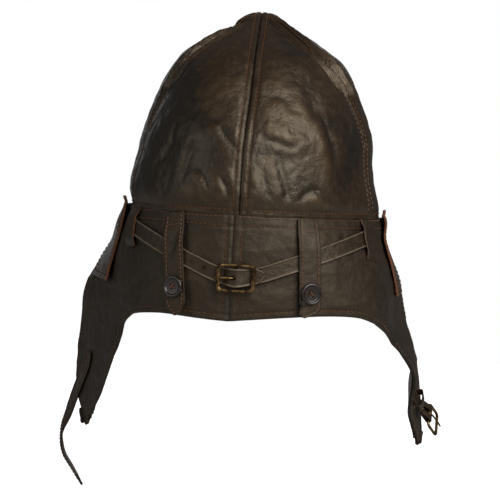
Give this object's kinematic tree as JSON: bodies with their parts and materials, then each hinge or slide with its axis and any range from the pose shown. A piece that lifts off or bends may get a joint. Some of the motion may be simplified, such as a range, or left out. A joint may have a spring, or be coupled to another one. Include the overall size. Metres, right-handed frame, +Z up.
{
  "type": "flying helmet",
  "caption": "Leather flying helmet with a panelled crown, a neck curtain that runs into long ear flaps, a buckled rear strap, goggle tabs with buttons and a chin strap with its buckle.",
  "frame": {"origin": "centre of the head in plan, at the height of the waist seam between the crown and the neck curtain", "axes": "+Z up out of the crown, the wearer faces -Y and the wearer's left is +X; the picture looks from +Y"},
  "size_m": [0.293, 0.2114, 0.3673],
  "materials": {
    "leather": "dark brown garment leather, softly creased, satin",
    "strap_leather": "dark brown strap leather with raw red-brown cut edges",
    "lining": "brown woven lining cloth",
    "brass": "aged antique brass, worn on its edges",
    "button": "dark brown polished button with a lighter rim"
  },
  "bodies": {
    "head_shell": {"crown_back_left": "leather", "crown_back_right": "leather", "crown_side_left": "leather", "crown_side_right": "leather", "crown_front_left": "leather", "crown_front_right": "leather", "crown_lining": "lining", "neck_curtain_left": "leather", "neck_curtain_right": "leather", "curtain_lining_left": "lining", "curtain_lining_right": "lining", "brow_band": "leather", "strap_loop_left": "strap_leather", "strap_loop_right": "strap_leather", "rear_strap_left": "strap_leather", "rear_strap_right": "strap_leather", "rear_buckle_frame": "brass", "tab_stud_post_left": "brass", "tab_stud_post_right": "brass"},
    "ear_flap_left_body": {"ear_flap_left": "leather", "flap_lining_left": "lining", "chin_strap_root": "strap_leather"},
    "ear_flap_right_body": {"ear_flap_right": "leather", "flap_lining_right": "lining", "chin_chape": "strap_leather", "chin_keeper": "strap_leather"},
    "ear_cover_left_body": {"ear_cover_left": "leather"},
    "ear_cover_right_body": {"ear_cover_right": "leather"},
    "goggle_tab_left_body": {"goggle_tab_left": "strap_leather", "goggle_button_left": "button", "tab_stud_socket_left": "brass"},
    "goggle_tab_right_body": {"goggle_tab_right": "strap_leather", "goggle_button_right": "button", "tab_stud_socket_right": "brass"},
    "rear_buckle_prong_body": {"rear_buckle_prong": "brass"},
    "chin_strap_body": {"chin_strap": "strap_leather"},
    "chin_buckle_frame_body": {"chin_buckle_frame": "brass"},
    "chin_buckle_prong_body": {"chin_buckle_prong": "brass"}
  },
  "joints": [
    {"name": "flap_fold_left", "type": "hinge", "parent": "head_shell", "child": "ear_flap_left_body", "pos_m": [0.10732, -0.00886, -0.082], "axis": [0.3916, -0.9202, 0], "range_deg": [-15, 120]},
    {"name": "flap_fold_right", "type": "hinge", "parent": "head_shell", "child": "ear_flap_right_body", "pos_m": [-0.11435, -0.00894, -0.082], "axis": [0.1678, 0.9858, 0], "range_deg": [-15, 120]},
    {"name": "cover_lift_left", "type": "hinge", "parent": "head_shell", "child": "ear_cover_left_body", "pos_m": [0.10424, -0.03928, -0.02778], "axis": [0.5514, -0.0328, -0.8336], "range_deg": [0, 45]},
    {"name": "cover_lift_right", "type": "hinge", "parent": "head_shell", "child": "ear_cover_right_body", "pos_m": [-0.10367, -0.03983, -0.02779], "axis": [0.5406, 0.037, 0.8405], "range_deg": [0, 45]},
    {"name": "tab_lift_left", "type": "hinge", "parent": "head_shell", "child": "goggle_tab_left_body", "pos_m": [0.04865, 0.08542, -0.00022], "axis": [0.8599, -0.5104, 0], "range_deg": [0, 120]},
    {"name": "tab_lift_right", "type": "hinge", "parent": "head_shell", "child": "goggle_tab_right_body", "pos_m": [-0.04543, 0.08778, -0.00016], "axis": [0.9179, 0.3967, 0], "range_deg": [0, 120]},
    {"name": "rear_prong_turn", "type": "hinge", "parent": "head_shell", "child": "rear_buckle_prong_body", "pos_m": [0.00711, 0.1047, -0.04301], "axis": [0.0002, 0.003, 1], "range_deg": [0, 20]},
    {"name": "chin_strap_swing", "type": "hinge", "parent": "ear_flap_left_body", "child": "chin_strap_body", "pos_m": [0.1281, -0.04836, -0.14876], "axis": [0.2839, -0.7198, 0.6335], "range_deg": [-35, 35]},
    {"name": "chin_frame_turn", "type": "hinge", "parent": "ear_flap_right_body", "child": "chin_buckle_frame_body", "pos_m": [-0.14022, -0.02856, -0.14538], "axis": [0.0502, 0.7087, -0.7037], "range_deg": [-10, 75]},
    {"name": "chin_prong_turn", "type": "hinge", "parent": "chin_buckle_frame_body", "child": "chin_buckle_prong_body", "pos_m": [-0.14022, -0.02856, -0.14538], "axis": [0.0502, 0.7087, -0.7037], "range_deg": [0, 75]}
  ]
}
